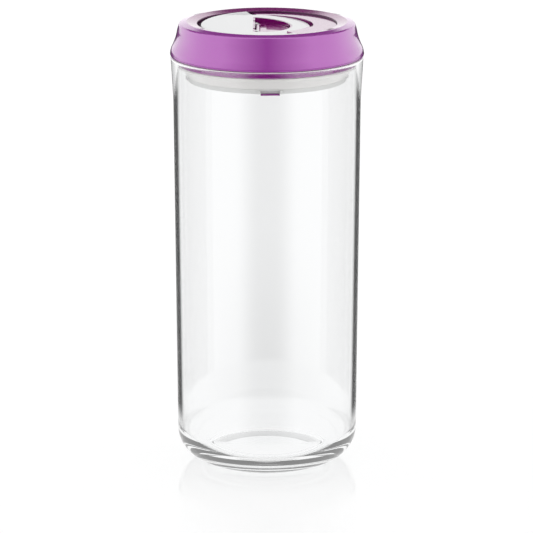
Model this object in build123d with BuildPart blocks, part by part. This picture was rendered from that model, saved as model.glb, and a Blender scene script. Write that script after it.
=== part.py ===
from build123d import *
import math
import os

os.makedirs("parts", exist_ok=True)

# Vacuum seal canister, millimetres. +Z is up, the origin is the centre of the foot on the table,
# and the front, where the snap window of the plug shows, is -Y.

# Glass jar
JAR_HEIGHT = 229.4
GLASS_WALL = 2.15
RIM_RADIUS = 52.9
NECK_START = 205.0
NECK_RADIUS = 51.6
RIM_ROUND = 1.1
HEEL_TOP = 18.5
HEEL_TOP_RADIUS = 50.05
HEEL_ARC = 17.5
FOOT_RADIUS = 32.65
FOOT_HALF_WIDTH = 0.7
FOOT_HEIGHT = 1.0
PUNT_HEIGHT = 3.0
FLOOR_HEIGHT = 7.4
INNER_CORNER = 14.0

# Purple lid shell
LID_BOTTOM = 230.0
LID_WIDEST_RADIUS = 53.2
CREST_HEIGHT = 248.9
CREST_RADIUS = 44.0
LID_WALL = 1.9
WELL_RADIUS = 38.3
WELL_EDGE = 247.9
WELL_FLOOR = 237.4
FLOOR_THICKNESS = 1.8

# Plug that enters the mouth
MOUTH_FLANGE_RADIUS = 50.3
BASE_BOTTOM = 226.2
BASE_WEB = 2.0
GASKET_TOP_RADIUS = 49.9
PLATE_TOP = 219.2
PLATE_BOTTOM = 216.8
PLATE_TOP_RADIUS = 45.2
PLATE_BOTTOM_RADIUS = 44.6
PLATE_LIFT = 2.4
HOOK_COUNT = 4
HOOK_WIDTH = 10.2
HOOK_START = -87.8
WINDOW_POST = 1.7

# Twist dial
DIAL_RADIUS = 38.0
LOBE_RADIUS = 36.4
DIAL_BOTTOM = 238.0
DIAL_PLATE_TOP = 243.4
DIAL_PLATE = 1.6
CRESCENT_TOP = 246.95
CRESCENT_END = 102.0
SPIRAL_RADIUS = 25.4
SPIRAL_RISE = 6.0
SPIRAL_POWER = 1.35
SPIRAL_START = 10.0
SPIRAL_END = 100.0
DISC_RADIUS = 23.4
DISC_TOP = 246.5
DISC_TILT = 2.55
DISC_TILT_TOWARDS = -16.5
GROOVE_WIDTH = 2.0
GROOVE_END = -18.0
LOBE_START = 109.5
LOBE_TOP = 247.75
LOBE_SLOPE_X = 0.016
LOBE_SLOPE_Y = 0.021
DISH_RADIUS = 31.0
DISH_LEVEL = 246.7
DISH_SLOPE = 22.0
STEP_B_ANGLE = -63.0
STEP_B_GAP = 0.5
DIAL_TURN = 90.0

# Vent flap in the dial
POCKET_FLAT = -6.7
POCKET_CENTRE = (-8.0, 1.0)
POCKET_RADIUS = 20.8
POCKET_FLOOR = 242.2
POCKET_WALL = 0.9
FLAP_GAP = 0.7
FLAP_BOTTOM = 242.8
FLAP_TOP = 244.1
FLAP_DISH = 0.5
HINGE_X = -5.0
HINGE_Z = 243.8
HINGE_PIN_RADIUS = 0.8
KNUCKLE_RADIUS = 1.4
EAR_WIDTH = 2.4
EAR_RADIUS = 1.5
EAR_FRONT_Y = -11.0
EAR_BACK_Y = 12.0

# Drive
SHAFT_RADIUS = 7.0
SHAFT_BOTTOM = 209.6
VENT_BORE = 2.2
RUNNING_GAP = 0.06
SMALL_GAP = 0.05
PIN_RADIUS = 1.0
PIN_HEIGHT = 213.9
SLEEVE_RADIUS = 11.0
SLEEVE_BOTTOM = 209.8
SCREW_CIRCLE = 28.0
SCREW_RADIUS = 1.5


def polar(radius, angle):
    return (radius * math.cos(math.radians(angle)), radius * math.sin(math.radians(angle)))


def from_axis(point):
    return math.hypot(point.X, point.Y)


# The jar: drafted wall, flared neck, rounded heel and a foot ring round a shallow punt
heel_centre_radius = HEEL_TOP_RADIUS - HEEL_ARC
foot_outer = 38.0
foot_outer_height = HEEL_TOP - math.sqrt(HEEL_ARC**2 - (foot_outer - heel_centre_radius) ** 2)
heel_middle = (heel_centre_radius + HEEL_ARC * math.sin(math.radians(50)),
               HEEL_TOP - HEEL_ARC * math.cos(math.radians(50)))
inner_top_radius = RIM_RADIUS - GLASS_WALL
inner_corner_top = FLOOR_HEIGHT + INNER_CORNER
inner_corner_radius = HEEL_TOP_RADIUS - GLASS_WALL + 0.02
inner_corner_middle = (inner_corner_radius - INNER_CORNER * (1 - math.cos(math.radians(45))),
                       inner_corner_top - INNER_CORNER * math.sin(math.radians(45)))

with BuildPart() as glass_jar:
    with BuildSketch(Plane.XZ):
        with BuildLine():
            punt = Line((0, PUNT_HEIGHT), (30.4, FOOT_HEIGHT + 0.6))
            foot_in = Line(punt @ 1, (FOOT_RADIUS - FOOT_HALF_WIDTH, 0))
            foot_flat = Line(foot_in @ 1, (FOOT_RADIUS + FOOT_HALF_WIDTH, 0))
            foot_out = Line(foot_flat @ 1, (34.8, FOOT_HEIGHT))
            foot_step = Line(foot_out @ 1, (foot_outer, foot_outer_height))
            heel = ThreePointArc(foot_step @ 1, heel_middle, (HEEL_TOP_RADIUS, HEEL_TOP))
            wall = Line(heel @ 1, (NECK_RADIUS, NECK_START))
            neck = Line(wall @ 1, (RIM_RADIUS, JAR_HEIGHT - RIM_ROUND))
            rim = ThreePointArc(neck @ 1, (RIM_RADIUS - GLASS_WALL / 2, JAR_HEIGHT),
                                (inner_top_radius, JAR_HEIGHT - RIM_ROUND))
            bore = Line(rim @ 1, (NECK_RADIUS - GLASS_WALL, NECK_START))
            inside = Line(bore @ 1, (inner_corner_radius, inner_corner_top))
            corner = ThreePointArc(inside @ 1, inner_corner_middle,
                                   (inner_corner_radius - INNER_CORNER, FLOOR_HEIGHT))
            floor = Line(corner @ 1, (0, FLOOR_HEIGHT + 0.4))
            Line(floor @ 1, punt @ 0)
        make_face()
    revolve(axis=Axis.Z)

glass_jar.part.label = "glass_jar"
export_step(glass_jar.part, "parts/glass_jar.step")


# The lid shell: flared skirt, sloping top ring, well for the dial, hub for the shaft
floor_under = WELL_FLOOR - FLOOR_THICKNESS
HUB_RADIUS = 12.0
BUSH_RADIUS = 8.6
COVER_HUB_BOTTOM = 231.4
BOSS_MEET = 231.0

with BuildPart() as lid_cover:
    with BuildSketch(Plane.XZ):
        with BuildLine():
            bead = ThreePointArc((52.2, LID_BOTTOM), (52.95, 230.45), (LID_WIDEST_RADIUS, 231.7))
            flare = ThreePointArc(bead @ 1, (52.9, 233.35), (52.2, 235.2))
            skirt = ThreePointArc(flare @ 1, (50.75, 238.6), (49.35, 244.1))
            upper = Line(skirt @ 1, (48.6, 246.9))
            shoulder = ThreePointArc(upper @ 1, (48.2, 247.65), (47.3, 248.1))
            slope = Line(shoulder @ 1, (CREST_RADIUS + 0.5, CREST_HEIGHT))
            crest = Line(slope @ 1, (CREST_RADIUS - 0.5, CREST_HEIGHT))
            bowl = Line(crest @ 1, (WELL_RADIUS + 0.3, WELL_EDGE + 0.05))
            lip = Line(bowl @ 1, (WELL_RADIUS, WELL_EDGE - 0.3))
            well = Line(lip @ 1, (WELL_RADIUS, WELL_FLOOR))
            floor_top = Line(well @ 1, (BUSH_RADIUS, WELL_FLOOR))
            hub_bore = Line(floor_top @ 1, (BUSH_RADIUS, COVER_HUB_BOTTOM))
            hub_end = Line(hub_bore @ 1, (HUB_RADIUS, COVER_HUB_BOTTOM))
            hub_side = Line(hub_end @ 1, (HUB_RADIUS, floor_under))
            floor_low = Line(hub_side @ 1, (WELL_RADIUS + LID_WALL, floor_under))
            well_back = Line(floor_low @ 1, (WELL_RADIUS + LID_WALL, WELL_EDGE - LID_WALL))
            roof_low = Line(well_back @ 1, (CREST_RADIUS, CREST_HEIGHT - LID_WALL))
            roof = Line(roof_low @ 1, (46.6, 246.2))
            back_upper = Line(roof @ 1, (48.75, 238.4))
            back_skirt = Line(back_upper @ 1, (50.9, 232.8))
            back_low = Line(back_skirt @ 1, (50.9, LID_BOTTOM))
            Line(back_low @ 1, bead @ 0)
        make_face()
    revolve(axis=Axis.Z)
    # screw bosses under the well floor
    with BuildSketch(Plane.XY.offset(BOSS_MEET)):
        with PolarLocations(SCREW_CIRCLE, 4, start_angle=45):
            Circle(3.6)
            Circle(SCREW_RADIUS + SMALL_GAP, mode=Mode.SUBTRACT)
    extrude(amount=floor_under - BOSS_MEET)
    # radial webs that stiffen the well floor from below
    with BuildSketch(Plane.XY.offset(floor_under - 2.4)):
        with PolarLocations(25.6, 8, start_angle=22.5):
            Rectangle(29, 1.4)
    extrude(amount=2.4)
    # lug on the well floor that stops the dial at both ends of its turn
    with BuildSketch(Plane.XY.offset(WELL_FLOOR)):
        with PolarLocations(31.0, 1, start_angle=180):
            Rectangle(5.0, 4.4)
    extrude(amount=3.0)

lid_cover.part.label = "lid_cover"
export_step(lid_cover.part, "parts/lid_cover.step")


# The lower body closes the lid shell, enters the mouth and carries the stop hooks
base_web_top = BASE_BOTTOM + BASE_WEB
BASE_HUB_BOTTOM = 221.6
BASE_WALL_TOP = 234.0
SEAL_GROOVE_LOW = 227.0
SEAL_GROOVE_HIGH = 229.4
SEAL_GROOVE_RADIUS = 9.3
HOOK_INNER = 39.6
HOOK_THICKNESS = 1.8
HOOK_FOOT_TOP = 216.7
HOOK_FOOT_BOTTOM = 215.9
HOOK_FOOT_RADIUS = 44.3
shaft_bore = SHAFT_RADIUS + RUNNING_GAP

with BuildPart() as lid_base:
    with BuildSketch(Plane.XZ):
        with BuildLine():
            Polyline(
                (shaft_bore, BASE_HUB_BOTTOM), (10.6, BASE_HUB_BOTTOM), (HUB_RADIUS, BASE_BOTTOM),
                (MOUTH_FLANGE_RADIUS - 0.5, BASE_BOTTOM), (MOUTH_FLANGE_RADIUS, BASE_BOTTOM + 0.5),
                (MOUTH_FLANGE_RADIUS, BASE_WALL_TOP), (48.6, BASE_WALL_TOP), (48.6, base_web_top),
                (HUB_RADIUS, base_web_top), (HUB_RADIUS, 231.3),
                (shaft_bore, 231.3), (shaft_bore, SEAL_GROOVE_HIGH),
                (SEAL_GROOVE_RADIUS, SEAL_GROOVE_HIGH), (SEAL_GROOVE_RADIUS, SEAL_GROOVE_LOW),
                (shaft_bore, SEAL_GROOVE_LOW), (shaft_bore, BASE_HUB_BOTTOM))
        make_face()
    revolve(axis=Axis.Z)
    # screw pillars with counterbores from below
    with BuildSketch(Plane.XY.offset(BASE_BOTTOM)):
        with PolarLocations(SCREW_CIRCLE, 4, start_angle=45):
            Circle(4.4)
    extrude(amount=BOSS_MEET - BASE_BOTTOM)
    with BuildSketch(Plane.XY.offset(BASE_BOTTOM)):
        with PolarLocations(SCREW_CIRCLE, 4, start_angle=45):
            Circle(3.1)
    extrude(amount=2.4, mode=Mode.SUBTRACT)
    with BuildSketch(Plane.XY.offset(BASE_BOTTOM)):
        with PolarLocations(SCREW_CIRCLE, 4, start_angle=45):
            Circle(SCREW_RADIUS + SMALL_GAP)
    extrude(amount=BOSS_MEET - BASE_BOTTOM, mode=Mode.SUBTRACT)
    # locating ring that centres the gasket
    with BuildSketch(Plane.XY.offset(BASE_BOTTOM)):
        Circle(42.9)
        Circle(41.7, mode=Mode.SUBTRACT)
    extrude(amount=-1.6)
    # legs with feet that guide the clamp plate and stop its fall
    with BuildSketch(Plane.XY.offset(BASE_BOTTOM)):
        with PolarLocations(HOOK_INNER + HOOK_THICKNESS / 2, HOOK_COUNT, start_angle=HOOK_START):
            Rectangle(HOOK_THICKNESS, HOOK_WIDTH)
    extrude(amount=HOOK_FOOT_BOTTOM - BASE_BOTTOM)
    with BuildSketch(Plane.XY.offset(HOOK_FOOT_TOP)):
        with PolarLocations((HOOK_INNER + HOOK_FOOT_RADIUS) / 2, HOOK_COUNT, start_angle=HOOK_START):
            Rectangle(HOOK_FOOT_RADIUS - HOOK_INNER, HOOK_WIDTH)
    extrude(amount=HOOK_FOOT_BOTTOM - HOOK_FOOT_TOP)

lid_base.part.label = "lid_base"
export_step(lid_base.part, "parts/lid_base.step")


# The rim seal: a lip between the glass rim and the skirt, held by a leg inside the skirt
RIM_SEAL_BOTTOM = JAR_HEIGHT + SMALL_GAP

with BuildPart() as rim_seal:
    with BuildSketch(Plane.XZ):
        with BuildLine():
            Polyline(
                (MOUTH_FLANGE_RADIUS + SMALL_GAP, RIM_SEAL_BOTTOM), (52.8, RIM_SEAL_BOTTOM),
                (53.0, RIM_SEAL_BOTTOM + 0.25), (52.1, LID_BOTTOM), (50.8, LID_BOTTOM),
                (50.8, 232.2), (MOUTH_FLANGE_RADIUS + SMALL_GAP, 232.2), close=True)
        make_face()
    revolve(axis=Axis.Z)

rim_seal.part.label = "rim_seal"
export_step(rim_seal.part, "parts/rim_seal.step")


# The expanding gasket: a silicone wedge with a sealing lip, squeezed between body and plate
GASKET_LOW = PLATE_TOP + SMALL_GAP
GASKET_HIGH = BASE_BOTTOM - SMALL_GAP

with BuildPart() as expanding_gasket:
    with BuildSketch(Plane.XZ):
        with BuildLine():
            lip = ThreePointArc((GASKET_TOP_RADIUS - 0.9, GASKET_HIGH), (GASKET_TOP_RADIUS, 225.6),
                                (GASKET_TOP_RADIUS - 0.6, 224.6))
            under_lip = Line(lip @ 1, (48.5, 223.9))
            upper_flank = Line(under_lip @ 1, (46.75, 221.6))
            flank = Line(upper_flank @ 1, (45.6, GASKET_LOW + 0.5))
            toe = Line(flank @ 1, (45.2, GASKET_LOW))
            foot = Line(toe @ 1, (43.1, GASKET_LOW))
            inner = Line(foot @ 1, (43.1, GASKET_HIGH))
            Line(inner @ 1, lip @ 0)
        make_face()
    revolve(axis=Axis.Z)

expanding_gasket.part.label = "expanding_gasket"
export_step(expanding_gasket.part, "parts/expanding_gasket.step")


# The clamp plate: a ribbed disc with a rim, guide slots and a snap window over each hook
PLATE_WEB = 1.6
PLATE_HOLE = 11.3
SLEEVE_FLANGE = 16.0
SLEEVE_SCREW_CIRCLE = 13.6
SLEEVE_SCREW_RADIUS = 0.9
web_top = PLATE_BOTTOM + PLATE_WEB

with BuildPart() as clamp_plate:
    with BuildSketch(Plane.XZ):
        with BuildLine():
            Polyline(
                (PLATE_HOLE, PLATE_BOTTOM), (PLATE_BOTTOM_RADIUS, PLATE_BOTTOM),
                (PLATE_TOP_RADIUS, PLATE_TOP),
                (42.0, PLATE_TOP), (42.0, web_top), (PLATE_HOLE, web_top), close=True)
        make_face()
    revolve(axis=Axis.Z)
    # collar and radial ribs on the upper side
    with BuildSketch(Plane.XY.offset(web_top)):
        Circle(15.6)
        Circle(PLATE_HOLE, mode=Mode.SUBTRACT)
    extrude(amount=1.4)
    with BuildSketch(Plane.XY.offset(web_top)):
        with PolarLocations(28.8, 12, start_angle=15):
            Rectangle(27.0, 1.2)
    extrude(amount=0.8)
    # slots for the legs
    with BuildSketch(Plane.XY.offset(PLATE_BOTTOM)):
        with PolarLocations(HOOK_INNER + HOOK_THICKNESS / 2, HOOK_COUNT, start_angle=HOOK_START):
            Rectangle(HOOK_THICKNESS + 0.5, HOOK_WIDTH + 0.5)
    extrude(amount=PLATE_TOP - PLATE_BOTTOM, mode=Mode.SUBTRACT)
    # snap windows in the rim
    with BuildSketch(Plane.XY.offset(PLATE_BOTTOM)):
        with PolarLocations(44.6, HOOK_COUNT, start_angle=HOOK_START):
            Rectangle(3.2, HOOK_WIDTH)
    extrude(amount=1.9, mode=Mode.SUBTRACT)
    # a post on each side of a window
    post_angle = math.degrees((HOOK_WIDTH + WINDOW_POST) / 2 / PLATE_TOP_RADIUS)
    with BuildSketch(Plane.XY.offset(PLATE_BOTTOM)):
        for side in (-1, 1):
            post_start = HOOK_START + side * post_angle
            with PolarLocations(PLATE_TOP_RADIUS - 0.3, HOOK_COUNT, start_angle=post_start):
                Rectangle(1.2, WINDOW_POST)
    extrude(amount=1.9)
    # holes for the sleeve screws
    with BuildSketch(Plane.XY.offset(PLATE_BOTTOM)):
        with PolarLocations(SLEEVE_SCREW_CIRCLE, 3, start_angle=30):
            Circle(SLEEVE_SCREW_RADIUS + SMALL_GAP)
    extrude(amount=3.0, mode=Mode.SUBTRACT)

clamp_plate.part.label = "clamp_plate"
export_step(clamp_plate.part, "parts/clamp_plate.step")


# The cam sleeve: two helical slots turn the twist of the cross pin into the lift of the plate
SLOT_HALF_HEIGHT = PIN_RADIUS + 0.2
slot_pitch = PLATE_LIFT * 360 / DIAL_TURN
slot_radius = (SLEEVE_RADIUS + SHAFT_RADIUS) / 2
sleeve_bore = SHAFT_RADIUS + 0.3

with BuildPart() as cam_sleeve:
    with BuildSketch(Plane.XY.offset(SLEEVE_BOTTOM)):
        Circle(SLEEVE_RADIUS)
        Circle(sleeve_bore, mode=Mode.SUBTRACT)
    extrude(amount=PLATE_BOTTOM + 1.1 - SLEEVE_BOTTOM)
    with BuildSketch(Plane.XY.offset(PLATE_BOTTOM - 1.2)):
        Circle(SLEEVE_FLANGE)
        Circle(sleeve_bore, mode=Mode.SUBTRACT)
        with PolarLocations(SLEEVE_SCREW_CIRCLE, 3, start_angle=30):
            Circle(SLEEVE_SCREW_RADIUS + SMALL_GAP, mode=Mode.SUBTRACT)
    extrude(amount=1.2)
    # each slot falls by the lift over the turn, clockwise seen from above
    for start in (0, 180):
        slot_path = Helix(slot_pitch, PLATE_LIFT, slot_radius,
                          center=(0, 0, PIN_HEIGHT), direction=(0, 0, -1), mode=Mode.PRIVATE)
        slot_path = slot_path.rotate(Axis.Z, start)
        with BuildSketch(Plane(slot_path @ 0, x_dir=(slot_path @ 0) - Vector(0, 0, PIN_HEIGHT),
                               z_dir=slot_path % 0)):
            Rectangle(SLEEVE_RADIUS - SHAFT_RADIUS + 3.0, 2 * SLOT_HALF_HEIGHT)
        sweep(path=slot_path, is_frenet=True, mode=Mode.SUBTRACT)
        for end in (slot_path @ 0, slot_path @ 1):
            radial = Vector(end.X, end.Y, 0).normalized()
            with BuildSketch(Plane(Vector(0, 0, end.Z) + radial * (SHAFT_RADIUS - 1), z_dir=radial)):
                Circle(SLOT_HALF_HEIGHT)
            extrude(amount=SLEEVE_RADIUS - SHAFT_RADIUS + 2, mode=Mode.SUBTRACT)

cam_sleeve.part.label = "cam_sleeve"
export_step(cam_sleeve.part, "parts/cam_sleeve.step")


# Screws that hold the sleeve to the plate
with BuildPart() as sleeve_screws:
    with BuildSketch(Plane.XY.offset(PLATE_BOTTOM - 2.2)):
        with PolarLocations(SLEEVE_SCREW_CIRCLE, 3, start_angle=30):
            Circle(1.8)
    extrude(amount=1.0)
    with BuildSketch(Plane.XY.offset(PLATE_BOTTOM - 1.2)):
        with PolarLocations(SLEEVE_SCREW_CIRCLE, 3, start_angle=30):
            Circle(SLEEVE_SCREW_RADIUS)
    extrude(amount=4.0)
    with BuildSketch(Plane.XY.offset(PLATE_BOTTOM - 2.2)):
        with PolarLocations(SLEEVE_SCREW_CIRCLE, 3, start_angle=30):
            Rectangle(4.0, 0.5)
    extrude(amount=0.6, mode=Mode.SUBTRACT)

sleeve_screws.part.label = "sleeve_screws"
export_step(sleeve_screws.part, "parts/sleeve_screws.step")


# The drive shaft: hexagonal head in the dial, vent bore, clip groove and cross hole
SHAFT_HEAD_BOTTOM = 238.8
SHAFT_HEAD_TOP = 240.8
HEAD_CORNER_RADIUS = 12.4
CLIP_GROOVE_BOTTOM = 220.4
CLIP_GROOVE_TOP = 221.5
CLIP_GROOVE_RADIUS = 6.2

with BuildPart() as drive_shaft:
    with BuildSketch(Plane.XY.offset(SHAFT_BOTTOM)):
        Circle(SHAFT_RADIUS)
    extrude(amount=SHAFT_HEAD_TOP - SHAFT_BOTTOM)
    chamfer(drive_shaft.edges().group_by(Axis.Z)[0], 0.6)
    with BuildSketch(Plane.XY.offset(SHAFT_HEAD_BOTTOM)):
        RegularPolygon(HEAD_CORNER_RADIUS, 6)
    extrude(amount=SHAFT_HEAD_TOP - SHAFT_HEAD_BOTTOM)
    with BuildSketch(Plane.XY.offset(CLIP_GROOVE_BOTTOM)):
        Circle(SHAFT_RADIUS + 1)
        Circle(CLIP_GROOVE_RADIUS, mode=Mode.SUBTRACT)
    extrude(amount=CLIP_GROOVE_TOP - CLIP_GROOVE_BOTTOM, mode=Mode.SUBTRACT)
    with BuildSketch(Plane.XY.offset(SHAFT_BOTTOM)):
        Circle(VENT_BORE)
    extrude(amount=SHAFT_HEAD_TOP - SHAFT_BOTTOM, mode=Mode.SUBTRACT)
    with BuildSketch(Plane.YZ.offset(-SHAFT_RADIUS - 1)):
        with Locations((0, PIN_HEIGHT)):
            Circle(PIN_RADIUS + 0.02)
    extrude(amount=2 * SHAFT_RADIUS + 2, mode=Mode.SUBTRACT)

drive_shaft.part.label = "drive_shaft"
export_step(drive_shaft.part, "parts/drive_shaft.step")


# The cross pin that rides in the helical slots
PIN_HALF_LENGTH = 10.7

with BuildPart() as drive_pin:
    with BuildSketch(Plane.YZ.offset(-PIN_HALF_LENGTH)):
        with Locations((0, PIN_HEIGHT)):
            Circle(PIN_RADIUS)
    extrude(amount=2 * PIN_HALF_LENGTH)
    chamfer(drive_pin.edges().filter_by(GeomType.CIRCLE), 0.25)

drive_pin.part.label = "drive_pin"
export_step(drive_pin.part, "parts/drive_pin.step")


# The flanged bush in the hub of the lid shell
BUSH_FLANGE_RADIUS = 11.5
BUSH_FLANGE = 0.8

with BuildPart() as shaft_bush:
    with BuildSketch(Plane.XZ):
        with BuildLine():
            Polyline(
                (shaft_bore, COVER_HUB_BOTTOM), (BUSH_RADIUS, COVER_HUB_BOTTOM),
                (BUSH_RADIUS, WELL_FLOOR), (BUSH_FLANGE_RADIUS, WELL_FLOOR),
                (BUSH_FLANGE_RADIUS, WELL_FLOOR + BUSH_FLANGE),
                (shaft_bore, WELL_FLOOR + BUSH_FLANGE), close=True)
        make_face()
    revolve(axis=Axis.Z)

shaft_bush.part.label = "shaft_bush"
export_step(shaft_bush.part, "parts/shaft_bush.step")


# The seal ring round the shaft, in the groove of the lower body
SEAL_RING_SECTION = 1.1
seal_ring_radius = SHAFT_RADIUS + 0.08 + SEAL_RING_SECTION

with BuildPart() as shaft_seal:
    with BuildSketch(Plane.XZ):
        with Locations((seal_ring_radius, (SEAL_GROOVE_LOW + SEAL_GROOVE_HIGH) / 2)):
            RegularPolygon(SEAL_RING_SECTION, 8)
    revolve(axis=Axis.Z)

shaft_seal.part.label = "shaft_seal"
export_step(shaft_seal.part, "parts/shaft_seal.step")


# The slippery washer under the head of the shaft
with BuildPart() as thrust_washer:
    with BuildSketch(Plane.XY.offset(WELL_FLOOR + BUSH_FLANGE)):
        Circle(BUSH_FLANGE_RADIUS)
        Circle(SHAFT_RADIUS + 0.3, mode=Mode.SUBTRACT)
    extrude(amount=0.5)

thrust_washer.part.label = "thrust_washer"
export_step(thrust_washer.part, "parts/thrust_washer.step")


# The open clip in the groove keeps the shaft from being pulled out upward
CLIP_GAP_WIDTH = 7.4

with BuildPart() as retaining_clip:
    with BuildSketch(Plane.XY.offset(CLIP_GROOVE_BOTTOM + 0.1)):
        Circle(9.4)
        Circle(CLIP_GROOVE_RADIUS + 0.03, mode=Mode.SUBTRACT)
        with Locations((0, -8)):
            Rectangle(CLIP_GAP_WIDTH, 8, mode=Mode.SUBTRACT)
        with PolarLocations(8.2, 2, start_angle=-140, angular_range=100, endpoint=True):
            Circle(0.7, mode=Mode.SUBTRACT)
    extrude(amount=0.9)

retaining_clip.part.label = "retaining_clip"
export_step(retaining_clip.part, "parts/retaining_clip.step")


# Four pan head screws pull the lid shell down onto the lower body
with BuildPart() as cover_screws:
    with BuildSketch(Plane.XY.offset(BASE_BOTTOM + 0.6)):
        with PolarLocations(SCREW_CIRCLE, 4, start_angle=45):
            Circle(2.9)
    extrude(amount=1.8)
    with BuildSketch(Plane.XY.offset(BASE_BOTTOM + 2.4)):
        with PolarLocations(SCREW_CIRCLE, 4, start_angle=45):
            Circle(SCREW_RADIUS)
    extrude(amount=6.6)
    with BuildSketch(Plane.XY.offset(BASE_BOTTOM + 0.6)):
        with PolarLocations(SCREW_CIRCLE, 4, start_angle=45):
            Rectangle(6.0, 0.8)
    extrude(amount=1.1, mode=Mode.SUBTRACT)

cover_screws.part.label = "cover_screws"
export_step(cover_screws.part, "parts/cover_screws.step")


# The dial. Its raised crescent is bounded inside by a spiral that opens clockwise into a groove.
CAP_GAP = 0.05
THIN_GROOVE = 0.3


def spiral_radius(angle):
    share = max(0.0, (angle - SPIRAL_START) / (SPIRAL_END - SPIRAL_START))
    return SPIRAL_RADIUS + SPIRAL_RISE * share**SPIRAL_POWER


def groove_radius(angle):
    share = min(1.0, max(0.0, angle / SPIRAL_END))
    return spiral_radius(angle) - THIN_GROOVE - (GROOVE_WIDTH - THIN_GROOVE) * (1 - share)**1.2


def pocket_shape(grow):
    with Locations(POCKET_CENTRE):
        Circle(POCKET_RADIUS + grow)
    with Locations((POCKET_FLAT - grow - 30, POCKET_CENTRE[1])):
        Rectangle(60, 90, mode=Mode.SUBTRACT)


spiral_angles = [SPIRAL_START + (SPIRAL_END - SPIRAL_START) * i / 10 for i in range(11)]
groove_angles = [SPIRAL_END * i / 10 for i in range(11)]
dial_plane = Plane.XY.offset(DIAL_PLATE_TOP)
dial_under = DIAL_PLATE_TOP - DIAL_PLATE
STUD_SPOTS = [(33, 140), (33, 218), (20, 38), (19.4, -30)]
tilt_x = math.tan(math.radians(DISC_TILT)) * math.cos(math.radians(DISC_TILT_TOWARDS))
tilt_y = math.tan(math.radians(DISC_TILT)) * math.sin(math.radians(DISC_TILT_TOWARDS))
disc_surface = Plane(origin=(0, 0, DISC_TOP), x_dir=(1, 0, -tilt_x), z_dir=(tilt_x, tilt_y, 1))
lobe_surface = Plane(origin=(0, 0, LOBE_TOP), x_dir=(1, 0, LOBE_SLOPE_X),
                     z_dir=(-LOBE_SLOPE_X, -LOBE_SLOPE_Y, 1))

with BuildPart() as dial_base:
    # pocket with its thin wall, cut level with the tilted cap
    with BuildSketch(Plane.XY.offset(SHAFT_HEAD_TOP)):
        pocket_shape(POCKET_WALL)
    extrude(amount=7)
    with BuildSketch(Plane.XY.offset(POCKET_FLOOR)):
        pocket_shape(0)
    extrude(amount=7, mode=Mode.SUBTRACT)
    split(bisect_by=disc_surface.offset(-0.1), keep=Keep.BOTTOM)
    # disc, outer rim and hub with the socket for the hexagonal head
    with BuildSketch(Plane.XY.offset(dial_under)):
        Circle(DIAL_RADIUS)
        with BuildSketch(mode=Mode.SUBTRACT):
            pocket_shape(0)
    extrude(amount=DIAL_PLATE)
    with BuildSketch(Plane.XY.offset(DIAL_BOTTOM)):
        Circle(DIAL_RADIUS)
        Circle(DIAL_RADIUS - 1.6, mode=Mode.SUBTRACT)
    extrude(amount=dial_under - DIAL_BOTTOM)
    with BuildSketch(Plane.XY.offset(SHAFT_HEAD_TOP)):
        Circle(14.6)
    extrude(amount=POCKET_FLOOR - SHAFT_HEAD_TOP)
    with BuildSketch(Plane.XY.offset(SHAFT_HEAD_BOTTOM + 0.2)):
        Circle(14.6)
        RegularPolygon(HEAD_CORNER_RADIUS + SMALL_GAP, 6, mode=Mode.SUBTRACT)
    extrude(amount=SHAFT_HEAD_TOP - SHAFT_HEAD_BOTTOM - 0.2)
    # stop ribs that meet the lug of the lid shell at rest and at the full turn
    with BuildSketch(Plane.XY.offset(DIAL_BOTTOM + 0.2)):
        with PolarLocations(31.0, 2, start_angle=172.4, angular_range=105.2, endpoint=True):
            Rectangle(5.0, 2.4)
    extrude(amount=dial_under - DIAL_BOTTOM - 0.2)
    # raised crescent
    with BuildSketch(dial_plane):
        with BuildLine():
            outer = CenterArc((0, 0), DIAL_RADIUS, STEP_B_ANGLE + STEP_B_GAP,
                              CRESCENT_END - STEP_B_ANGLE - STEP_B_GAP)
            step_a = Line(outer @ 1, polar(spiral_radius(SPIRAL_END), SPIRAL_END))
            spiral = Spline(*[polar(spiral_radius(a), a) for a in reversed(spiral_angles)])
            groove_side = CenterArc((0, 0), SPIRAL_RADIUS, SPIRAL_START,
                                    GROOVE_END + 6 - SPIRAL_START)
            nose = ThreePointArc(groove_side @ 1, polar(SPIRAL_RADIUS - 0.55, GROOVE_END + 1.5),
                                 polar(DISC_RADIUS, GROOVE_END))
            disc_side = CenterArc((0, 0), DISC_RADIUS, GROOVE_END,
                                  STEP_B_ANGLE + STEP_B_GAP - GROOVE_END)
            Line(disc_side @ 1, outer @ 0)
        make_face()
    extrude(amount=CRESCENT_TOP - DIAL_PLATE_TOP)
    # vent port and holes for the studs of the cap
    with BuildSketch(Plane.XY.offset(SHAFT_HEAD_TOP)):
        Circle(VENT_BORE)
    extrude(amount=POCKET_FLOOR - SHAFT_HEAD_TOP, mode=Mode.SUBTRACT)
    with BuildSketch(Plane.XY.offset(dial_under)):
        for radius, angle in STUD_SPOTS:
            with Locations(polar(radius, angle)):
                Circle(1.6)
    extrude(amount=DIAL_PLATE, mode=Mode.SUBTRACT)
    # notches in the pocket wall for the ears of the cap
    with BuildSketch(Plane.XY.offset(DIAL_PLATE_TOP - 1.1)):
        for ear_y in (EAR_FRONT_Y, EAR_BACK_Y):
            with Locations((POCKET_FLAT - POCKET_WALL / 2, ear_y)):
                Rectangle(POCKET_WALL + 0.2, EAR_WIDTH + 0.2)
    extrude(amount=6, mode=Mode.SUBTRACT)

dial_base.part.label = "dial_base"
export_step(dial_base.part, "parts/dial_base.step")


# The white cap: a lobe with a raised rim round a dish that runs out into the tilted disc
CAP_EDGE_RADIUS = 0.6
DISH_HEIGHT = 5.0
dish_low = DISH_LEVEL - DISH_HEIGHT / 2
dish_growth = DISH_HEIGHT / 2 / math.tan(math.radians(DISH_SLOPE))

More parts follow.
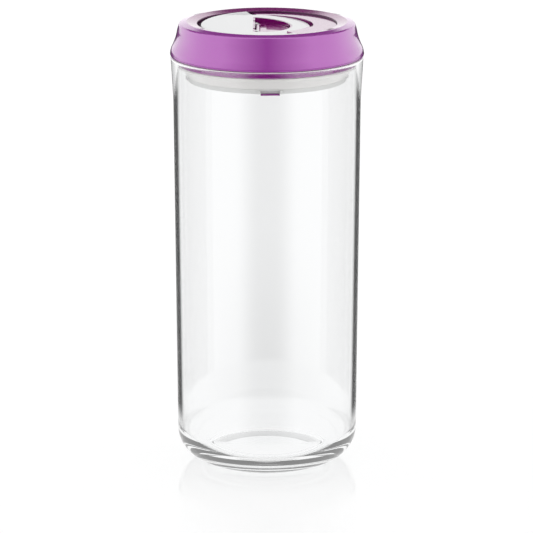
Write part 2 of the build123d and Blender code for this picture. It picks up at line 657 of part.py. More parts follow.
with BuildPart(mode=Mode.PRIVATE) as cap_dish:
    with Locations((0, 0, dish_low)):
        Cone(DISH_RADIUS - dish_growth, DISH_RADIUS + dish_growth, DISH_HEIGHT,
             align=(Align.CENTER, Align.CENTER, Align.MIN))
    split(bisect_by=disc_surface, keep=Keep.TOP)

with BuildPart() as dial_cap:
    with BuildSketch(dial_plane):
        with BuildLine():
            lobe = CenterArc((0, 0), LOBE_RADIUS, LOBE_START, 360 + STEP_B_ANGLE - LOBE_START)
            step_b = Line(lobe @ 1, polar(DISC_RADIUS - CAP_GAP, STEP_B_ANGLE))
            disc_edge = CenterArc((0, 0), DISC_RADIUS - CAP_GAP, STEP_B_ANGLE,
                                  GROOVE_END + 3 - STEP_B_ANGLE)
            groove = Spline(disc_edge @ 1, *[polar(groove_radius(a), a) for a in groove_angles])
            corner = Line(groove @ 1, polar(spiral_radius(SPIRAL_END) - 0.7, LOBE_START - 4))
            Line(corner @ 1, lobe @ 0)
        make_face()
        with BuildSketch(mode=Mode.SUBTRACT):
            pocket_shape(POCKET_WALL + CAP_GAP)
    extrude(amount=6)
    split(bisect_by=lobe_surface, keep=Keep.BOTTOM)
    add(cap_dish.part, mode=Mode.SUBTRACT)
    top_edges = dial_cap.edges().filter_by(GeomType.ELLIPSE)
    fillet(top_edges.filter_by(lambda edge: from_axis(edge @ 0.5) > LOBE_RADIUS - 0.1), CAP_EDGE_RADIUS)
    # hollow under the thick lobe
    with BuildSketch(dial_plane):
        with BuildLine():
            CenterArc((0, 0), LOBE_RADIUS - 1.6, 112, 178)
            CenterArc((0, 0), 25.5, 112, 178)
            Line(polar(LOBE_RADIUS - 1.6, 112), polar(25.5, 112))
            Line(polar(LOBE_RADIUS - 1.6, 290), polar(25.5, 290))
        make_face()
        with PolarLocations(33, 2, start_angle=140, angular_range=78, endpoint=True):
            Circle(3.0, mode=Mode.SUBTRACT)
    extrude(amount=1.4, mode=Mode.SUBTRACT)
    # studs into the dial
    with BuildSketch(dial_plane):
        for radius, angle in STUD_SPOTS:
            with Locations(polar(radius, angle)):
                Circle(1.5)
    extrude(amount=-DIAL_PLATE)
    # ears that hold the hinge pin
    for ear_y in (EAR_FRONT_Y, EAR_BACK_Y):
        with BuildSketch(Plane.XZ.offset(-ear_y - EAR_WIDTH / 2)):
            with BuildLine():
                Polyline((POCKET_FLAT - POCKET_WALL - 0.6, DIAL_PLATE_TOP),
                         (POCKET_FLAT - POCKET_WALL - 0.6, 245.6),
                         (HINGE_X - 0.4, 245.6), (HINGE_X + 1.2, HINGE_Z + 0.9),
                         (HINGE_X + 1.2, HINGE_Z - 0.9), (HINGE_X + 0.2, HINGE_Z - EAR_RADIUS),
                         (POCKET_FLAT + 0.1, HINGE_Z - EAR_RADIUS), (POCKET_FLAT + 0.1, DIAL_PLATE_TOP),
                         close=True)
            make_face()
            with Locations((HINGE_X, HINGE_Z)):
                Circle(HINGE_PIN_RADIUS + 0.02, mode=Mode.SUBTRACT)
        extrude(amount=EAR_WIDTH)

dial_cap.part.label = "dial_cap"
export_step(dial_cap.part, "parts/dial_cap.step")


# The vent flap: a D-shaped dish with a raised lip and a knuckle at its flat side
with BuildPart() as vent_flap:
    with BuildSketch(Plane.XY.offset(FLAP_BOTTOM)):
        with Locations(POCKET_CENTRE):
            Circle(POCKET_RADIUS - FLAP_GAP)
        with Locations((HINGE_X - 30, POCKET_CENTRE[1])):
            Rectangle(60, 90, mode=Mode.SUBTRACT)
        for ear_y in (EAR_FRONT_Y, EAR_BACK_Y):
            with Locations((HINGE_X + 1.7, ear_y)):
                Rectangle(3.6, EAR_WIDTH + 0.8, mode=Mode.SUBTRACT)
    extrude(amount=FLAP_TOP - FLAP_BOTTOM)
    with BuildSketch(Plane.XY.offset(FLAP_TOP - FLAP_DISH)):
        with Locations(POCKET_CENTRE):
            Circle(POCKET_RADIUS - FLAP_GAP - 1.3)
        with Locations((HINGE_X + 4.6 - 30, POCKET_CENTRE[1])):
            Rectangle(60, 90, mode=Mode.SUBTRACT)
    extrude(amount=FLAP_DISH, mode=Mode.SUBTRACT)
    with BuildSketch(Plane.XZ.offset(-EAR_FRONT_Y - EAR_WIDTH / 2 - 0.2)):
        with Locations((HINGE_X, HINGE_Z)):
            Circle(KNUCKLE_RADIUS)
    extrude(amount=-(EAR_BACK_Y - EAR_FRONT_Y - EAR_WIDTH - 0.4))
    with BuildSketch(Plane.XZ.offset(-EAR_FRONT_Y + 5)):
        with Locations((HINGE_X, HINGE_Z)):
            Circle(HINGE_PIN_RADIUS + SMALL_GAP)
    extrude(amount=-40, mode=Mode.SUBTRACT)
    with BuildSketch(Plane.XY.offset(FLAP_BOTTOM)):
        Circle(1.3)
    extrude(amount=0.5, mode=Mode.SUBTRACT)

vent_flap.part.label = "vent_flap"
export_step(vent_flap.part, "parts/vent_flap.step")


# The pin of the flap hinge
with BuildPart() as flap_pin:
    with BuildSketch(Plane.XZ.offset(-EAR_FRONT_Y + EAR_WIDTH / 2)):
        with Locations((HINGE_X, HINGE_Z)):
            Circle(HINGE_PIN_RADIUS)
    extrude(amount=-(EAR_BACK_Y - EAR_FRONT_Y + EAR_WIDTH))

flap_pin.part.label = "flap_pin"
export_step(flap_pin.part, "parts/flap_pin.step")


# The soft plug under the flap closes the vent port
with BuildPart() as vent_plug:
    with BuildSketch(Plane.XY.offset(POCKET_FLOOR + SMALL_GAP)):
        Circle(3.4)
    extrude(amount=FLAP_BOTTOM - POCKET_FLOOR - SMALL_GAP)
    with BuildSketch(Plane.XY.offset(FLAP_BOTTOM)):
        Circle(1.3)
    extrude(amount=0.5)

vent_plug.part.label = "vent_plug"
export_step(vent_plug.part, "parts/vent_plug.step")
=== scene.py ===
import math

import bmesh
import bpy
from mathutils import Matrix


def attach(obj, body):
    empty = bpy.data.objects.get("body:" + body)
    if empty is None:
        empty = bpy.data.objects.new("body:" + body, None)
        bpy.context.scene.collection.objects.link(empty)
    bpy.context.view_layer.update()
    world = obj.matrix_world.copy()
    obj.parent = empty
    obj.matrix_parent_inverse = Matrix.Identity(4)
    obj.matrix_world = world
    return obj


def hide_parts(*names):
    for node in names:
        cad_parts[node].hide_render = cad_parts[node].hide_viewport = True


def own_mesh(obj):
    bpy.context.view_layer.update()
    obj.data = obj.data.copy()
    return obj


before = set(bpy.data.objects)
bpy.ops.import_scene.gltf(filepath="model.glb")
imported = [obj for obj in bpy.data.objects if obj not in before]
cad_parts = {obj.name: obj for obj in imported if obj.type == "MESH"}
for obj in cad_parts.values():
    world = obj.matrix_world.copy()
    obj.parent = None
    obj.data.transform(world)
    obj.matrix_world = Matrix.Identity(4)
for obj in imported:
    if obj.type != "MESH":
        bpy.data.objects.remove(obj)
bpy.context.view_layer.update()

MM = 0.001

# Driving sizes, the same values as the solids, in millimetres: radii from the axis, heights above the table
JAR_HEIGHT = 229.4
GLASS_WALL = 2.15
RIM_RADIUS = 52.9
RIM_ROUNDING = 1.1
NECK_START = 205.0
NECK_RADIUS = 51.6
HEEL_TOP = 18.5
HEEL_TOP_RADIUS = 50.05
HEEL_ARC = 17.5
HEEL_START_RADIUS = 38.0
FOOT_HEIGHT = 1.0
PUNT_HEIGHT = 3.0
FLOOR_HEIGHT = 7.4
INNER_CORNER = 14.0
LID_BOTTOM = 230.0
LID_INNER_RADIUS = 50.9
LID_WALL = 1.9
CREST_HEIGHT = 248.9
CREST_RADIUS = 44.0
WELL_RADIUS = 38.3
WELL_EDGE = 247.9
WELL_FLOOR = 237.4
FLOOR_THICKNESS = 1.8
HUB_RADIUS = 12.0
HUB_BOTTOM = 231.4
SHAFT_HOLE_RADIUS = 8.6
GASKET_TOP = 226.15
GASKET_BOTTOM = 219.25
GASKET_BORE_RADIUS = 43.1

# Sizes of the small forms that only the looks have, in millimetres: the rounded foot ring, the soft bend of
# the neck, the ridge on the glass floor and the rounded crest of the shell
PUNT_RADIUS = 29.9
FOOT_INNER_RADIUS = 32.15
FOOT_OUTER_RADIUS = 33.15
NECK_BEND = 0.8
RIDGE_RADIUS = 33.0
RIDGE_HEIGHT = 0.3
RIDGE_HALF_WIDTH = 0.4
CREST_ROUNDING = 0.35

SEGMENTS = 256
SHARP_ANGLE = 30


def on_arc(centre, radius, degrees):
    """The point of an arc at an angle from straight down."""
    turn = math.radians(degrees)
    return (centre[0] + radius * math.sin(turn), centre[1] - radius * math.cos(turn))


def arc(start, middle, end, steps):
    """Points of the circle through three (radius, height) points, start left out."""
    (ax, ay), (bx, by), (cx, cy) = start, middle, end
    a, b, c = ax**2 + ay**2, bx**2 + by**2, cx**2 + cy**2
    d = 2 * (ax * (by - cy) + bx * (cy - ay) + cx * (ay - by))
    ux = (a * (by - cy) + b * (cy - ay) + c * (ay - by)) / d
    uy = (a * (cx - bx) + b * (ax - cx) + c * (bx - ax)) / d
    radius = math.hypot(ax - ux, ay - uy)
    first = math.atan2(ay - uy, ax - ux)
    via = (math.atan2(by - uy, bx - ux) - first) % math.tau
    sweep = (math.atan2(cy - uy, cx - ux) - first) % math.tau
    if via > sweep:
        sweep -= math.tau
    return [(ux + radius * math.cos(first + sweep * i / steps),
             uy + radius * math.sin(first + sweep * i / steps)) for i in range(1, steps + 1)]


def path(*items):
    """A profile from points and three-point arcs, an arc written as (middle, end, steps)."""
    points = [items[0]]
    for item in items[1:]:
        if len(item) == 3:
            points += arc(points[-1], *item)
        else:
            points.append(item)
    return points


def smooth(piece, angle):
    """Smooth shading up to an angle in degrees."""
    for polygon in piece.data.polygons:
        polygon.use_smooth = True
    piece.data.set_sharp_from_angle(angle=math.radians(angle))


def lathe(name, profile, closed=True):
    """Revolves a profile of (radius, height) in millimetres about the canister's axis."""
    turns = [math.tau * i / SEGMENTS for i in range(SEGMENTS)]
    bm = bmesh.new()
    rings = []
    for radius, height in profile:
        rings.append([bm.verts.new((radius * MM * math.cos(turn), radius * MM * math.sin(turn), height * MM))
                      for turn in (turns if radius else turns[:1])])
    pairs = list(zip(rings, rings[1:]))
    if closed:
        pairs.append((rings[-1], rings[0]))
    for low, high in pairs:
        for i in range(SEGMENTS):
            j = (i + 1) % SEGMENTS
            lower = low if len(low) == 1 else [low[i], low[j]]
            upper = high if len(high) == 1 else [high[j], high[i]]
            bm.faces.new(lower + upper)
    bmesh.ops.recalc_face_normals(bm, faces=bm.faces)
    mesh = bpy.data.meshes.new(name)
    bm.to_mesh(mesh)
    bm.free()
    piece = bpy.data.objects.new(name, mesh)
    bpy.context.scene.collection.objects.link(piece)
    smooth(piece, SHARP_ANGLE)
    return piece


# The jar's glass, drawn from the middle of the punt out, up the wall, over the rim and down to the floor
rim_start = JAR_HEIGHT - RIM_ROUNDING
wall_draft = (NECK_RADIUS - HEEL_TOP_RADIUS) / (NECK_START - HEEL_TOP)
neck_flare = (RIM_RADIUS - NECK_RADIUS) / (rim_start - NECK_START)
bend_sag = NECK_BEND * (neck_flare - wall_draft) / 4
heel_centre = (HEEL_TOP_RADIUS - HEEL_ARC, HEEL_TOP)
heel_start = HEEL_TOP - math.sqrt(HEEL_ARC**2 - (HEEL_START_RADIUS - heel_centre[0]) ** 2)
inner_wall = HEEL_TOP_RADIUS - GLASS_WALL
corner_centre = (inner_wall - INNER_CORNER, FLOOR_HEIGHT + INNER_CORNER)


def neck(radius):
    """The bend from the drafted wall into the flare: the points below, at and above it."""
    return ((radius - NECK_BEND * wall_draft, NECK_START - NECK_BEND),
            (radius + bend_sag, NECK_START),
            (radius + NECK_BEND * neck_flare, NECK_START + NECK_BEND))


outer_below, outer_bend, outer_above = neck(NECK_RADIUS)
inner_below, inner_bend, inner_above = neck(NECK_RADIUS - GLASS_WALL)

glass = lathe("jar_glass", path(
    (0, PUNT_HEIGHT), (PUNT_RADIUS, FOOT_HEIGHT + 0.63),
    ((30.6, FOOT_HEIGHT + 0.38), (31.1, FOOT_HEIGHT - 0.1), 5),
    (31.8, 0.15), ((31.95, 0.03), (FOOT_INNER_RADIUS, 0), 4),
    (FOOT_OUTER_RADIUS, 0), ((33.3, 0.02), (33.5, 0.12), 4),
    (34.5, FOOT_HEIGHT - 0.2), (35.1, FOOT_HEIGHT + 0.1),
    (HEEL_START_RADIUS, heel_start),
    (on_arc(heel_centre, HEEL_ARC, 50), (HEEL_TOP_RADIUS, HEEL_TOP), 32),
    outer_below, (outer_bend, outer_above, 6),
    (RIM_RADIUS, rim_start),
    ((RIM_RADIUS - GLASS_WALL / 2, JAR_HEIGHT), (RIM_RADIUS - GLASS_WALL, rim_start), 12),
    inner_above, (inner_bend, inner_below, 6),
    (inner_wall, corner_centre[1]),
    (on_arc(corner_centre, INNER_CORNER, 45), (corner_centre[0], FLOOR_HEIGHT), 24),
    (RIDGE_RADIUS + RIDGE_HALF_WIDTH, FLOOR_HEIGHT + 0.02),
    ((RIDGE_RADIUS, FLOOR_HEIGHT + RIDGE_HEIGHT), (RIDGE_RADIUS - RIDGE_HALF_WIDTH, FLOOR_HEIGHT + 0.03), 6),
    (20, FLOOR_HEIGHT + 0.1), (0, FLOOR_HEIGHT + 0.4)), closed=False)
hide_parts("glass_jar")
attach(glass, "jar")

# The purple lid shell: up the skirt, over the crest, down the well, and back along the underside. The points
# close beside the crest and the well's lip keep the shading of the long slope between them even. The solid's
# screw bosses, webs and stop lug are left out, since the dial and the lower body hide them at every pose.
floor_under = WELL_FLOOR - FLOOR_THICKNESS
shell = lathe("lid_shell", path(
    (52.2, LID_BOTTOM), ((52.95, 230.45), (53.2, 231.7), 10), ((52.9, 233.35), (52.2, 235.2), 10),
    ((50.75, 238.6), (49.35, 244.1), 16), (48.6, 246.9), ((48.2, 247.65), (47.3, 248.1), 10), (47.1, 248.15),
    (CREST_RADIUS + 0.6, CREST_HEIGHT - 0.105),
    (CREST_RADIUS + CREST_ROUNDING, CREST_HEIGHT - 0.04),
    ((CREST_RADIUS, CREST_HEIGHT), (CREST_RADIUS - CREST_ROUNDING, CREST_HEIGHT - 0.035), 8),
    (CREST_RADIUS - 0.6, CREST_HEIGHT - 0.082),
    (WELL_RADIUS + 0.8, WELL_EDGE + 0.107), (WELL_RADIUS + 0.55, WELL_EDGE + 0.06),
    ((WELL_RADIUS + 0.15, WELL_EDGE - 0.1), (WELL_RADIUS, WELL_EDGE - 0.5), 6),
    (WELL_RADIUS, WELL_FLOOR + 0.6),
    ((WELL_RADIUS - 0.18, WELL_FLOOR + 0.18), (WELL_RADIUS - 0.6, WELL_FLOOR), 4),
    (SHAFT_HOLE_RADIUS, WELL_FLOOR), (SHAFT_HOLE_RADIUS, HUB_BOTTOM),
    (HUB_RADIUS, HUB_BOTTOM), (HUB_RADIUS, floor_under),
    (WELL_RADIUS + LID_WALL, floor_under), (WELL_RADIUS + LID_WALL, WELL_EDGE - LID_WALL),
    (CREST_RADIUS, CREST_HEIGHT - LID_WALL), (46.6, 246.2), (48.75, 238.4),
    (LID_INNER_RADIUS, 232.8), (LID_INNER_RADIUS, LID_BOTTOM)))
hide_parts("lid_cover")
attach(shell, "lid")

# The rim seal and the gasket
seal = lathe("rim_seal_ring", path(
    (50.35, 229.45), (52.7, 229.45), ((52.93, 229.52), (52.98, 229.72), 4), (52.15, 229.99),
    (52.1, LID_BOTTOM), (50.8, LID_BOTTOM), (50.8, 232.2), (50.35, 232.2)))
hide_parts("rim_seal")
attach(seal, "lid")

gasket = lathe("gasket_ring", path(
    (49.0, GASKET_TOP), ((49.9, 225.6), (49.3, 224.6), 10), ((48.9, 224.2), (48.5, 223.9), 4),
    ((46.9, 221.7), (45.6, 219.75), 12), ((45.45, 219.4), (45.2, GASKET_BOTTOM), 4),
    (GASKET_BORE_RADIUS, GASKET_BOTTOM), (GASKET_BORE_RADIUS, GASKET_TOP)))
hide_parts("expanding_gasket")
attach(gasket, "lid")
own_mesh(gasket)


class Nodes:
    """Short calls for the nodes that the materials and the studio use."""

    def __init__(self, tree):
        self.tree = tree

    def new(self, kind):
        return self.tree.nodes.new(kind)

    def feed(self, socket, value):
        """Links an output to a socket, or sets a constant on it."""
        if hasattr(value, "links"):
            self.tree.links.new(value, socket)
        else:
            socket.default_value = value

    def math(self, operation, *values):
        node = self.new("ShaderNodeMath")
        node.operation = operation
        for socket, value in zip(node.inputs, values):
            self.feed(socket, value)
        return node.outputs[0]

    def add(self, first, second):
        return self.math("ADD", first, second)

    def times(self, first, second):
        return self.math("MULTIPLY", first, second)

    def above(self, value, limit):
        return self.math("GREATER_THAN", value, limit)

    def below(self, value, limit):
        return self.math("LESS_THAN", value, limit)

    def either(self, first, second):
        return self.math("MAXIMUM", first, second)

    def length(self, x, y):
        return self.math("SQRT", self.add(self.times(x, x), self.times(y, y)))

    def ramp(self, value, low, high, at_low, at_high):
        """A soft step between two levels."""
        node = self.new("ShaderNodeMapRange")
        node.interpolation_type = "SMOOTHSTEP"
        for socket, setting in zip(node.inputs, (value, low, high, at_low, at_high)):
            self.feed(socket, setting)
        return node.outputs[0]

    def mix(self, share, first, second):
        """The first value at share 0, the second at 1."""
        part = self.times(second, share)
        rest = self.times(first, self.math("SUBTRACT", 1.0, share))
        return self.add(part, rest)

    def mix_colour(self, share, first, second):
        node = self.new("ShaderNodeMix")
        node.data_type = "RGBA"
        self.feed(node.inputs["Factor"], share)
        self.feed(node.inputs[6], first)
        self.feed(node.inputs[7], second)
        return node.outputs[2]

    def mix_surface(self, share, first, second):
        """Blends two shaders and makes the result the material's surface."""
        node = self.new("ShaderNodeMixShader")
        for socket, value in zip(node.inputs, (share, first, second)):
            self.feed(socket, value)
        self.feed(self.tree.nodes["Material Output"].inputs["Surface"], node.outputs[0])

    def axes(self, kind, output):
        split = self.new("ShaderNodeSeparateXYZ")
        self.feed(split.inputs[0], self.new(kind).outputs[output])
        return split.outputs

    def rays(self):
        return self.new("ShaderNodeLightPath").outputs


# Materials
BUMP_DISTANCE = 0.0002
BUMP_DETAIL = 3.0


def principled(made):
    return made.node_tree.nodes["Principled BSDF"]


def material(name, bump=None, **inputs):
    """A glossy or clear material. Its bump is the scale and strength of a fine noise in the surface."""
    made = bpy.data.materials.new(name)
    made.use_nodes = True
    shader = principled(made)
    for key, value in inputs.items():
        shader.inputs[key.replace("_", " ")].default_value = value
    if bump:
        nodes = Nodes(made.node_tree)
        noise = nodes.new("ShaderNodeTexNoise")
        noise.inputs["Scale"].default_value = bump[0]
        noise.inputs["Detail"].default_value = BUMP_DETAIL
        relief = nodes.new("ShaderNodeBump")
        relief.inputs["Strength"].default_value = bump[1]
        relief.inputs["Distance"].default_value = BUMP_DISTANCE
        nodes.feed(noise.inputs["Vector"], nodes.new("ShaderNodeTexCoord").outputs["Object"])
        nodes.feed(relief.inputs["Height"], noise.outputs["Fac"])
        nodes.feed(shader.inputs["Normal"], relief.outputs["Normal"])
    return made


PURPLE = dict(bump=(60, 0.02), Roughness=0.22, Metallic=0.2, Coat_Weight=1.0, Coat_Roughness=0.03,
              Coat_IOR=1.62, IOR=1.5, Specular_IOR_Level=0.2)
PEARL = (0.34, 0.045, 0.36, 1)
# Painted shade: the same purple, darker and redder, for the dial's pieces down in the well and the shell's
# slope into it.
PURPLE_IN_SHADE = (0.225, 0.003, 0.16, 1)
# Painted shade: near black, for the gap between the dial and the well's wall.
GAP_SHADE = (0.05, 0.002, 0.04, 1)

shaded_purple_dial = material("shaded_purple_dial", Base_Color=PURPLE_IN_SHADE, **PURPLE)
purple_flange = material("purple_flange", Base_Color=(0.26, 0.004, 0.25, 1),
                         **{**PURPLE, "Coat_IOR": 2.3, "Metallic": 0.0})
purple_shell = material("purple_shell", Base_Color=PEARL, **PURPLE)
white = material("white_gloss", (80, 0.02), Base_Color=(0.68, 0.685, 0.69, 1), Roughness=0.14, IOR=1.45,
                 Specular_IOR_Level=0.4)
milky = material("milky_silicone", (150, 0.05), Base_Color=(0.86, 0.84, 0.825, 1), Roughness=0.3, IOR=1.43,
                 Transmission_Weight=0.1, Coat_Weight=0.7, Coat_Roughness=0.12, Coat_IOR=2.0)
natural = material("natural_plastic", (200, 0.05), Base_Color=(0.78, 0.78, 0.77, 1), Roughness=0.3, IOR=1.5,
                   Transmission_Weight=0.1)
steel = material("steel", (400, 0.05), Base_Color=(0.55, 0.55, 0.56, 1), Roughness=0.25, Metallic=1.0)
clear = material("clear_glass", Base_Color=(0.988, 0.992, 0.994, 1), Roughness=0.0, IOR=1.5,
                 Transmission_Weight=1.0)

# Rays that have been bent or mirrored more often than this go straight through glass and see a white studio
MOST_BENDS = 5.5
THIN_GLASS = (0.985, 0.987, 0.988, 1)


def let_light_through(made):
    """Clear glass casts no dark shadow: shadow, diffuse and many times bent rays pass it straight."""
    nodes = Nodes(made.node_tree)
    rays = nodes.rays()
    passing = nodes.either(rays["Is Shadow Ray"], rays["Is Diffuse Ray"])
    passing = nodes.either(passing, nodes.above(rays["Ray Depth"], MOST_BENDS))
    thin = nodes.new("ShaderNodeBsdfTransparent")
    thin.inputs["Color"].default_value = THIN_GLASS
    nodes.mix_surface(passing, principled(made).outputs[0], thin.outputs[0])


# The painted shade on the slope round the dial starts within this of the crest, and the painted shade in the
# gap round the dial reaches from the well's wall out to this, in millimetres
SLOPE_BLEND = 0.4
GAP_WIDTH = (0.02, 0.5)
# The coat's weight in the painted shade of the gap: a weaker coat, so that less reflection shows there.
GAP_COAT = 0.2


def paint_shade_inside(made):
    """Paints shade on the shell: a darker purple on the slope round the dial, and near black with a weaker
    coat below the well's lip.
    """
    nodes = Nodes(made.node_tree)
    x, y, _ = nodes.axes("ShaderNodeTexCoord", "Object")
    across = nodes.length(x, y)
    slope = ((CREST_RADIUS - SLOPE_BLEND) * MM, (CREST_RADIUS + SLOPE_BLEND) * MM)
    lip = [(WELL_RADIUS + width) * MM for width in GAP_WIDTH]
    colour = nodes.mix_colour(nodes.ramp(across, *slope, 0.0, 1.0), PURPLE_IN_SHADE, PEARL)
    colour = nodes.mix_colour(nodes.ramp(across, *lip, 1.0, 0.0), colour, GAP_SHADE)
    nodes.feed(principled(made).inputs["Base Color"], colour)
    nodes.feed(principled(made).inputs["Coat Weight"], nodes.ramp(across, *lip, GAP_COAT, 1.0))


def dress(piece, made):
    piece.data.materials.clear()
    piece.data.materials.append(made)


let_light_through(clear)
paint_shade_inside(purple_shell)
dress(shell, purple_shell)
dress(seal, milky)
dress(gasket, milky)
dress(glass, clear)

node_finish = {
    "lid_base": purple_flange, "dial_base": shaded_purple_dial, "vent_flap": shaded_purple_dial, "dial_cap": white,
    "clamp_plate": natural, "cam_sleeve": natural, "drive_shaft": natural, "shaft_bush": natural,
    "thrust_washer": natural, "shaft_seal": milky, "vent_plug": milky, "drive_pin": steel,
    "retaining_clip": steel, "cover_screws": steel, "sleeve_screws": steel, "flap_pin": steel,
}
for node, made in node_finish.items():
    dress(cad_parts[node], made)

# Rounded edges of the CAD pieces that show: widths in millimetres, angles in degrees
EDGE_WIDTHS = {"dial_base": 0.3, "dial_cap": 0.3, "vent_flap": 0.22, "lid_base": 0.25, "clamp_plate": 0.2,
               "cam_sleeve": 0.2}
FLAT_ANGLE = 0.6
EDGE_ANGLE = 32
EDGE_SHARP_ANGLE = 35


def soften(piece, width):
    """Merges the flat facets of a CAD piece and rounds its edges."""
    flat = piece.modifiers.new("flat", "DECIMATE")
    flat.decimate_type = "DISSOLVE"
    flat.angle_limit = math.radians(FLAT_ANGLE)
    bevel = piece.modifiers.new("edges", "BEVEL")
    bevel.width = width * MM
    bevel.segments = 3
    bevel.limit_method = "ANGLE"
    bevel.angle_limit = math.radians(EDGE_ANGLE)
    bevel.harden_normals = True
    smooth(piece, EDGE_SHARP_ANGLE)


for node, width in EDGE_WIDTHS.items():
    soften(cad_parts[node], width)

# The floor. The camera sees it white. For glass and gloss it glows, a painted reflection: a narrow bright
# strip behind the canister, a dark camera side and painted shade under the canister. A soft step is written
# as where it starts and ends, and its level before and after.
FLOOR_SIZE = 6.0
FLOOR_WHITE = 0.985
FLATTEST_Y = 0.02                              # keeps the sideways lean of a ray finite
FLAT_RAY = (0.35, 0.6, 1.0, 0.0)               # on a ray's slope: the strip shows to the flatter rays
STRIP_STRAIGHT = (0.3, 0.42, 1.0, 0.06)        # on the lean: bright in the middle for straight rays
STRIP_MIRRORED = (0.55, 0.9, 0.05, 0.95)       # on the lean: dark in the middle for mirrored rays
STRIP_MOST_SURFACES = 3.5                      # mirrored rays count while they have crossed fewer surfaces
DIP_NEAR_FAR = (0.1, 0.6, 0.9, 0.99)           # on the metres behind: how grey the strip's middle is
DIP_HALF_WIDTH = 0.06
AWAY_FROM_JAR = (0.09, 0.13, 0.0, 1.0)         # on the metres from the axis
SHADE_UNDER_JAR = (0.97, 0.85, 0.7, 0.22)            # painted shade under the canister, by how often the ray was mirrored, the last for more
CAMERA_SIDE = (0.1, 0.9, 0.04, 1.0)            # on the lean
CAMERA_SIDE_MIRRORED = 0.75                    # for rays mirrored twice or more


def floor_glow(nodes, rays):
    """How bright the floor glows in glass and gloss: a painted reflection, with painted shade under the
    canister.
    """
    x, y, slope = nodes.axes("ShaderNodeNewGeometry", "Incoming")
    lean = nodes.math("DIVIDE", nodes.math("ABSOLUTE", x),
                      nodes.math("MAXIMUM", nodes.math("ABSOLUTE", y), FLATTEST_Y))
    once, twice, more = [nodes.above(rays["Glossy Depth"], count) for count in (0.5, 1.5, 2.5)]

    mirrored = nodes.times(once, nodes.below(rays["Transmission Depth"], STRIP_MOST_SURFACES))
    strip = nodes.mix(mirrored, nodes.ramp(lean, *STRIP_STRAIGHT), nodes.ramp(lean, *STRIP_MIRRORED))
    strip = nodes.mix(nodes.ramp(slope, *FLAT_RAY), 1.0, strip)
    px, py, _ = nodes.axes("ShaderNodeNewGeometry", "Position")
    dip = nodes.ramp(nodes.math("ABSOLUTE", px), 0.0, DIP_HALF_WIDTH, nodes.ramp(py, *DIP_NEAR_FAR), 1.0)
    behind = nodes.times(strip, dip)

    in_front = nodes.mix(twice, nodes.ramp(lean, *CAMERA_SIDE), CAMERA_SIDE_MIRRORED)
    around = nodes.mix(nodes.below(y, 0.0), in_front, behind)

    level, level_once, level_twice, level_more = SHADE_UNDER_JAR
    under = nodes.mix(twice, level_once, nodes.mix(more, level_twice, level_more))
    under = nodes.mix(once, level, under)
    return nodes.mix(nodes.ramp(nodes.length(px, py), *AWAY_FROM_JAR), under, around)


half = FLOOR_SIZE / 2
mesh = bpy.data.meshes.new("floor")
mesh.from_pydata([(-half, -half, 0), (half, -half, 0), (half, half, 0), (-half, half, 0)], [], [(0, 1, 2, 3)])
ground = bpy.data.objects.new("floor", mesh)
bpy.context.scene.collection.objects.link(ground)
floor_white = material("floor_white", Base_Color=(FLOOR_WHITE, FLOOR_WHITE, FLOOR_WHITE, 1), Roughness=0.06,
                       Specular_IOR_Level=0.35)
nodes = Nodes(floor_white.node_tree)
rays = nodes.rays()
glow = nodes.new("ShaderNodeEmission")
nodes.feed(glow.inputs["Strength"], floor_glow(nodes, rays))
nodes.mix_surface(nodes.either(rays["Is Glossy Ray"], rays["Is Transmission Ray"]),
                  principled(floor_white).outputs[0], glow.outputs[0])
dress(ground, floor_white)

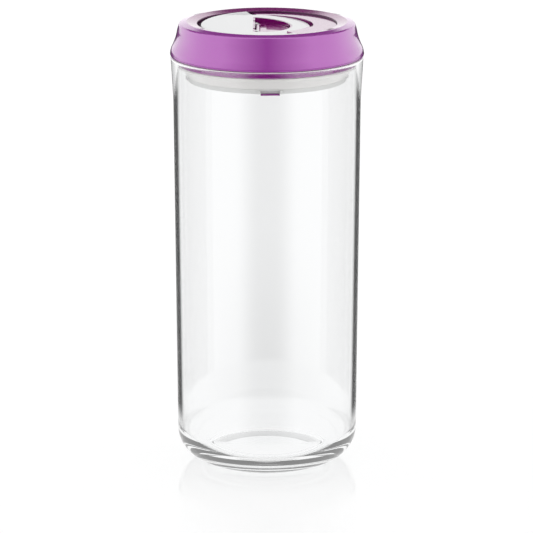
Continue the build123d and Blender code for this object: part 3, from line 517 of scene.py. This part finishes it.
# The world: plain white for the camera and for the light on the object. Reflections show a studio that is
# dark round the camera, bright at the sides and a little less bright behind, with a dark band above that
# behind the canister and a lamp overhead.
AWAY_GAIN = 1.75                               # on the radians between a direction and the camera's
AT_CAMERA = 0.22
BRIGHTEST = 2.0
BEHIND = (1.8, 2.75, 1.0, 0.6)                 # on the same radians
BAND_HEIGHT = (0.36, 0.47, 0.0, 1.0)           # on a direction's height
BAND_BEHIND = (-0.2, -0.7, 0.0, 1.0)           # on its part towards the camera
BAND_LEVEL = (0.66, 0.8, 0.02, 0.6)            # on its height
OVERHEAD = (0.93, 0.98, 0.0, 1.8)              # on its height
SHORTEST = 0.001                               # keeps a direction straight up finite


def studio_light(nodes):
    """How bright the studio is in a reflection."""
    x, y, height = nodes.axes("ShaderNodeTexCoord", "Generated")
    towards_camera = nodes.math("DIVIDE", nodes.times(y, -1.0),
                                nodes.math("MAXIMUM", nodes.length(x, y), SHORTEST))
    away = nodes.math("ARCCOSINE", nodes.math("MINIMUM", nodes.math("MAXIMUM", towards_camera, -1.0), 1.0))
    rising = nodes.math("MINIMUM", nodes.add(nodes.times(away, AWAY_GAIN), AT_CAMERA), BRIGHTEST)
    low = nodes.times(rising, nodes.ramp(away, *BEHIND))
    high = nodes.add(nodes.ramp(height, *BAND_LEVEL), nodes.ramp(height, *OVERHEAD))
    band = nodes.times(nodes.ramp(height, *BAND_HEIGHT), nodes.ramp(towards_camera, *BAND_BEHIND))
    return nodes.mix(band, low, high)


world = bpy.data.worlds.new("studio")
bpy.context.scene.world = world
world.use_nodes = True
background = world.node_tree.nodes["Background"]
nodes = Nodes(world.node_tree)
rays = nodes.rays()
reflected = nodes.times(rays["Is Glossy Ray"], nodes.below(rays["Ray Depth"], MOST_BENDS))
strength = nodes.mix(rays["Is Camera Ray"], nodes.mix(reflected, 1.0, studio_light(nodes)), 1.0)
background.inputs["Color"].default_value = (1, 1, 1, 1)
nodes.feed(background.inputs["Strength"], strength)

# The camera, fitted to the photo: metres, degrees and millimetres of lens
CAMERA_LOCATION = (-0.0003, -1.8265, 0.5671)
CAMERA_PITCH = 14.044
CAMERA_LENS = 227.96
SENSOR_WIDTH = 36.0
camera_data = bpy.data.cameras.new("camera")
camera_data.sensor_width = SENSOR_WIDTH
camera_data.lens = CAMERA_LENS
camera = bpy.data.objects.new("camera", camera_data)
camera.location = CAMERA_LOCATION
camera.rotation_euler = (math.radians(90 - CAMERA_PITCH), 0, 0)
bpy.context.scene.collection.objects.link(camera)
bpy.context.scene.camera = camera
bpy.context.scene.view_settings.view_transform = "Standard"
